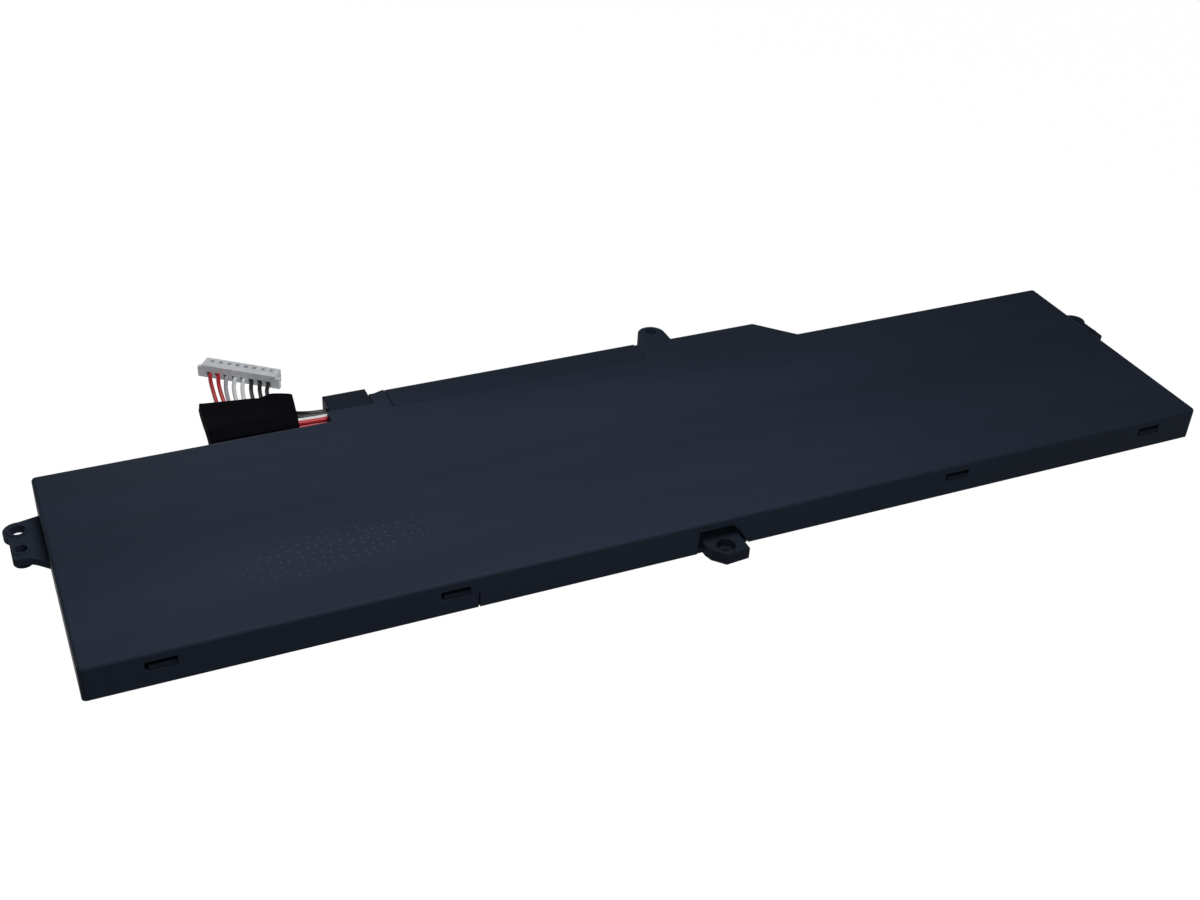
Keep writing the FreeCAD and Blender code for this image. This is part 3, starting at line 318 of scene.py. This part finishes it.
def plain_mottled(name, shade, dark_shade, roughness, grain_size):
    # Parts inside the closed case: a cast, fired or foamed surface with its own fine mottle.
    material, output = new_material(name)
    place = add_node(material, "ShaderNodeTexCoord").outputs["Object"]
    mottle = add_node(material, "ShaderNodeTexNoise", {"Vector": place, "Scale": per_millimetre(grain_size),
                                                       "Detail": 3.0})
    tone = add_node(material, "ShaderNodeValToRGB", {"Fac": mottle.outputs["Fac"]})
    tone.color_ramp.elements[0].color = linear(dark_shade)
    tone.color_ramp.elements[1].color = linear(shade)
    bump = add_node(material, "ShaderNodeBump", {"Height": mottle.outputs["Fac"], "Strength": 0.3,
                                                 "Distance": 0.03 * MM})
    shader = add_node(material, "ShaderNodeBsdfPrincipled", {
        "Base Color": tone.outputs["Color"], "Roughness": roughness, "Normal": bump.outputs["Normal"]})
    material.node_tree.links.new(shader.outputs["BSDF"], output.inputs["Surface"])
    return material


def dress(node, material):
    """Gives a CAD node its material in place of the plain one that it was packed with."""
    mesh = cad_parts[node].data
    mesh.materials.clear()
    mesh.materials.append(material)


# Case and what it holds

# The tray's darker colour is painted shade: it darkens the lug's top and the latches in the windows.
tray_plastic_painted_shade = moulded_case_plastic("moulded_black_abs_tray_painted_shade", "#20252F", "#1C212A", False)
dress("top_cover", moulded_case_plastic("moulded_black_abs_cover", "#29303D", "#252B37", True))
dress("board_cover", moulded_case_plastic("moulded_black_abs_strip", "#272D3A", "#232935", False))
dress("bottom_tray", tray_plastic_painted_shade)

tinned = rolled_sheet("bright_tin_plate", "#D8D9DA", "#B9BBBD", 0.3)
nickel = rolled_sheet("rolled_nickel_strip", "#CFCBC4", "#ABA79F", 0.35)
aluminium = rolled_sheet("rolled_aluminium_tab", "#E6E7E8", "#C9CBCC", 0.4)
pouch = plain_mottled("embossed_pouch_foil", "#C7C9CC", "#AEB1B5", 0.35, 6)
adhesive = plain_mottled("double_sided_adhesive", "#E4E2D8", "#D4D1C4", 0.6, 1.5)
foam = plain_mottled("closed_cell_foam", "#2B2B2C", "#161617", 0.95, 0.5)
polyimide = plain_mottled("polyimide_film", "#C48A2A", "#A8701A", 0.3, 3)
solder_mask = plain_mottled("green_solder_mask", "#12572B", "#0C4421", 0.35, 2)
epoxy = plain_mottled("moulded_epoxy_chip", "#232325", "#18181A", 0.55, 0.6)
ceramic = plain_mottled("fired_capacitor_ceramic", "#B39A77", "#98805F", 0.5, 0.5)
INSIDE_FINISHES = {
    "cell_left": pouch, "cell_middle": pouch, "cell_right": pouch,
    "adhesive_pad_left": adhesive, "adhesive_pad_middle": adhesive, "adhesive_pad_right": adhesive,
    "foam_pad_left": foam, "foam_pad_middle": foam, "foam_pad_right": foam,
    "cell_tabs_aluminium": aluminium, "cell_tabs_nickel": nickel,
    "link_pack_negative": nickel, "link_tap_one": nickel, "link_tap_two": nickel,
    "link_pack_positive": nickel, "link_insulators": polyimide,
    "protection_board": solder_mask, "gauge_chip": epoxy, "mosfets": epoxy,
    "chemical_fuse": ceramic, "sense_resistor": epoxy, "thermistor": epoxy,
    "capacitors": ceramic, "solder_joints": tinned, "plug_terminals": tinned,
}
for inside_node, finish in INSIDE_FINISHES.items():
    dress(inside_node, finish)
dress("plug_housing", moulded_nylon())


# Foot of the front cut-out: dark pieces put as painted shade where the floor would show through

def start_piece(name):
    """Names the new primitive, moves its place into its mesh and opens it in edit mode."""
    piece = bpy.context.object
    piece.name = name
    bpy.ops.object.transform_apply(location=True, rotation=True, scale=True)
    bpy.ops.object.mode_set(mode="EDIT")
    return piece


def finish_piece(piece, material, part):
    """Closes edit mode and gives the piece its material and the body that it belongs to."""
    bpy.ops.object.mode_set(mode="OBJECT")
    piece.data.materials.append(material)
    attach(piece, part)
    piece.select_set(False)


def make_shade_sill():
    """The tray's low sill under the cut-out, which closes the gaps on both sides of the lug: painted shade
    that keeps the floor from showing through.
    """
    middle = [(low + high) / 2 for low, high in zip(SILL_LOW, SILL_HIGH)]
    size = [high - low for low, high in zip(SILL_LOW, SILL_HIGH)]
    bpy.ops.mesh.primitive_cube_add(size=1.0, location=middle, scale=size)
    sill = start_piece("front_shade_sill")
    bpy.ops.mesh.select_all(action="SELECT")
    bpy.ops.mesh.bevel(offset=SILL_EDGE, segments=2)
    finish_piece(sill, tray_plastic_painted_shade, "root")


def make_shade_ring():
    """A ring of tray plastic in the foot of the lug's hole: painted shade that keeps the floor from showing
    through.
    """
    bpy.ops.mesh.primitive_cylinder_add(vertices=48, radius=SHADE_RING_RADIUS, depth=SHADE_RING_HEIGHT,
                                        location=(*SHADE_RING_PLACE, SHADE_RING_HEIGHT / 2))
    seat = start_piece("lug_hole_shade_ring")
    bpy.ops.mesh.select_mode(type="FACE")
    bpy.ops.mesh.select_all(action="DESELECT")
    bpy.ops.object.mode_set(mode="OBJECT")
    for face in seat.data.polygons:
        face.select = abs(face.normal.z) > 0.5
    bpy.ops.object.mode_set(mode="EDIT")
    bpy.ops.mesh.inset(thickness=SHADE_RING_RADIUS - SHADE_RING_HOLE, use_individual=True)
    bpy.ops.mesh.bridge_edge_loops()
    bpy.ops.mesh.select_all(action="SELECT")
    bpy.ops.mesh.normals_make_consistent(inside=False)
    finish_piece(seat, tray_plastic_painted_shade, "root")


bpy.ops.object.select_all(action="DESELECT")
make_shade_sill()
make_shade_ring()


# Wires

def make_wire(node, route, material):
    """One insulated wire as a smooth curve along its route, from inside the case to the plug."""
    curve = bpy.data.curves.new(f"{node}_line", "CURVE")
    curve.dimensions = "3D"
    curve.resolution_u = 8
    curve.bevel_depth = WIRE_DIAMETER / 2
    curve.bevel_resolution = 5
    curve.use_fill_caps = True
    spline = curve.splines.new("NURBS")
    spline.points.add(len(route) - 1)
    for point, place in zip(spline.points, route):
        point.co = (*place, 1.0)
    spline.order_u = 3
    spline.use_endpoint_u = True
    curve.materials.append(material)
    wire = bpy.data.objects.new(f"{node}_insulation", curve)
    bpy.context.scene.collection.objects.link(wire)
    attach(wire, "root")
    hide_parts(node)
    return wire


INSULATION = {
    "red": extruded_insulation("red_pvc_insulation", "#C01E28", "#9C1620"),
    "grey": extruded_insulation("grey_pvc_insulation", "#A5A8AD", "#8F9297"),
    "white": extruded_insulation("white_pvc_insulation", "#DEE0E2", "#CBCDD0"),
    "black": extruded_insulation("black_pvc_insulation", "#14171D", "#0B0D11"),
}
harness = [make_wire(wire_node, wire_route, INSULATION[wire_node.split("_")[1]])
           for wire_node, wire_route in WIRE_ROUTES.items()]


# Tape

def height_over(folds, y):
    """Height of a folded line at a place along it: its mean close by, which rounds each fold."""
    steps = 4
    total = 0.0
    for step in range(-steps, steps + 1):
        at = y + TAPE_FOLD_REACH * step / steps
        for (y_low, z_low), (y_high, z_high) in zip(folds, folds[1:]):
            if y_low <= at <= y_high:
                total += z_low + (z_high - z_low) * (at - y_low) / (y_high - y_low)
    return total / (2 * steps + 1)


def along(edge, share):
    """The place at a share of the way along an edge of corners."""
    runs = [math.dist(start, end) for start, end in zip(edge, edge[1:])]
    left = share * sum(runs)
    for (start, end), run in zip(zip(edge, edge[1:]), runs):
        if left <= run or end == edge[-1]:
            return tuple(s + (e - s) * min(left / run, 1.0) for s, e in zip(start, end))
        left -= run


def tape_corner(column, row):
    """One corner of the tape's grid. The columns and rows below 0 are those of the flaps."""
    share = max(column, 0) / TAPE_COLUMNS
    front = along(TAPE_FRONT_EDGE, share)
    rear = along(TAPE_BACK_EDGE, share)
    x, y = (f + (r - f) * max(row, 0) / TAPE_ROWS for f, r in zip(front, rear))
    lifted = min(max((x - TAPE_LIFT_START) / TAPE_LIFT_WIDTH, 0.0), 1.0)
    flat = TAPE_TOP - TAPE_LIFT_FALL * max(y - TAPE_LIFT_FOLD, 0.0)
    z = height_over(TAPE_FOLDS, y) * (1 - lifted) + flat * lifted
    z += TAPE_WRINKLE * noise.noise(Vector((x, y, 0.0)) / TAPE_WRINKLE_SIZE)
    x += TAPE_FLAP_LEAN * min(column, 0)
    y += TAPE_FLAP_LEAN * min(row, 0)
    return x, y, max(z + TAPE_FLAP * min(column, row, 0) / TAPE_FLAP_ROWS, TAPE_THICKNESS)


def make_tape():
    """The patch of cloth tape that lies over the bend of the wires, with its back corner lifted."""
    corners = [tape_corner(column, row) for row in range(-TAPE_FLAP_ROWS, TAPE_ROWS + 1)
               for column in range(-TAPE_FLAP_ROWS, TAPE_COLUMNS + 1)]
    wide = TAPE_FLAP_ROWS + TAPE_COLUMNS + 1
    faces = [(start, start + 1, start + 1 + wide, start + wide)
             for row in range(TAPE_FLAP_ROWS + TAPE_ROWS)
             for start in range(row * wide, row * wide + wide - 1)]
    mesh = bpy.data.meshes.new("harness_tape_cloth")
    mesh.from_pydata(corners, [], faces)
    tape = bpy.data.objects.new("harness_tape_cloth", mesh)
    bpy.context.scene.collection.objects.link(tape)
    bpy.ops.object.select_all(action="DESELECT")
    tape.select_set(True)
    bpy.context.view_layer.objects.active = tape
    thick = tape.modifiers.new("thickness", "SOLIDIFY")
    thick.thickness = TAPE_THICKNESS
    thick.offset = -1.0
    bpy.ops.object.modifier_apply(modifier=thick.name)
    bpy.ops.object.shade_smooth_by_angle(angle=math.radians(40))
    mesh.materials.append(acetate_cloth())
    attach(tape, "root")
    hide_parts("harness_tape")


make_tape()


# Studio

def make_camera():
    camera = bpy.data.objects.new("camera", bpy.data.cameras.new("camera"))
    bpy.context.scene.collection.objects.link(camera)
    camera.data.lens = CAMERA_LENS
    camera.data.clip_start = CAMERA_NEAR
    camera.location = CAMERA_PLACE
    camera.rotation_mode = "QUATERNION"
    looking = (CAMERA_AIM - CAMERA_PLACE).to_track_quat("-Z", "Y")
    camera.rotation_quaternion = looking @ Quaternion((0, 0, 1), math.radians(CAMERA_ROLL))
    bpy.context.scene.camera = camera


def paper_floor():
    # White background paper. What a camera or a reflection sees of it is lifted to white, so
    # that only a faint shadow is left under the object. Its own shade is a middle grey, which
    # keeps the light that it throws back onto the case as low as in the photograph.
    material, output = new_material("white_background_paper")
    rays = add_node(material, "ShaderNodeLightPath").outputs
    seen = add_node(material, "ShaderNodeMath", {0: rays["Is Camera Ray"], 1: rays["Is Glossy Ray"]},
                    operation="MAXIMUM")
    seen = add_node(material, "ShaderNodeMath", {0: seen.outputs["Value"], 1: rays["Is Transmission Ray"]},
                    operation="MAXIMUM")
    share = add_node(material, "ShaderNodeMath", {0: seen.outputs["Value"], 1: FLOOR_WHITE_SHARE},
                     operation="MULTIPLY")
    paper = add_node(material, "ShaderNodeBsdfDiffuse", {"Color": linear("#787878")})
    white = add_node(material, "ShaderNodeEmission", {"Color": (1, 1, 1, 1),
                                                      "Strength": FLOOR_WHITE_STRENGTH})
    mixed = add_node(material, "ShaderNodeMixShader", {"Fac": share.outputs["Value"]})
    material.node_tree.links.new(paper.outputs["BSDF"], mixed.inputs[1])
    material.node_tree.links.new(white.outputs["Emission"], mixed.inputs[2])
    material.node_tree.links.new(mixed.outputs["Shader"], output.inputs["Surface"])
    return material


def make_floor():
    bpy.ops.mesh.primitive_plane_add(size=FLOOR_SIZE, location=(0, 0, FLOOR_LEVEL))
    floor = bpy.context.object
    floor.name = "studio_floor"
    floor.data.materials.append(paper_floor())


def make_softbox(name, place, aim, size, power):
    lamp = bpy.data.lights.new(name, "AREA")
    lamp.shape = "SQUARE"
    lamp.size = size
    lamp.energy = power
    softbox = bpy.data.objects.new(name, lamp)
    bpy.context.scene.collection.objects.link(softbox)
    softbox.location = place
    softbox.rotation_mode = "QUATERNION"
    softbox.rotation_quaternion = (Vector(aim) - Vector(place)).to_track_quat("-Z", "Y")
    softbox.visible_camera = False


def make_world():
    """A weak, slightly blue light from all round. Past the floor's edge a camera sees white there."""
    world = bpy.data.worlds.new("studio_room")
    bpy.context.scene.world = world
    world.use_nodes = True
    world.node_tree.nodes.clear()
    rays = add_node(world, "ShaderNodeLightPath").outputs
    room = add_node(world, "ShaderNodeBackground", {"Color": ROOM_COLOUR, "Strength": ROOM_STRENGTH})
    white = add_node(world, "ShaderNodeBackground", {"Color": (1, 1, 1, 1), "Strength": 1.0})
    mixed = add_node(world, "ShaderNodeMixShader", {"Fac": rays["Is Camera Ray"]})
    output = add_node(world, "ShaderNodeOutputWorld")
    world.node_tree.links.new(room.outputs["Background"], mixed.inputs[1])
    world.node_tree.links.new(white.outputs["Background"], mixed.inputs[2])
    world.node_tree.links.new(mixed.outputs["Shader"], output.inputs["Surface"])


bpy.ops.object.select_all(action="DESELECT")
make_camera()
make_floor()
for softbox_name, softbox_setup in SOFTBOXES.items():
    make_softbox(softbox_name, *softbox_setup)
make_world()
bpy.context.scene.view_settings.view_transform = "Standard"
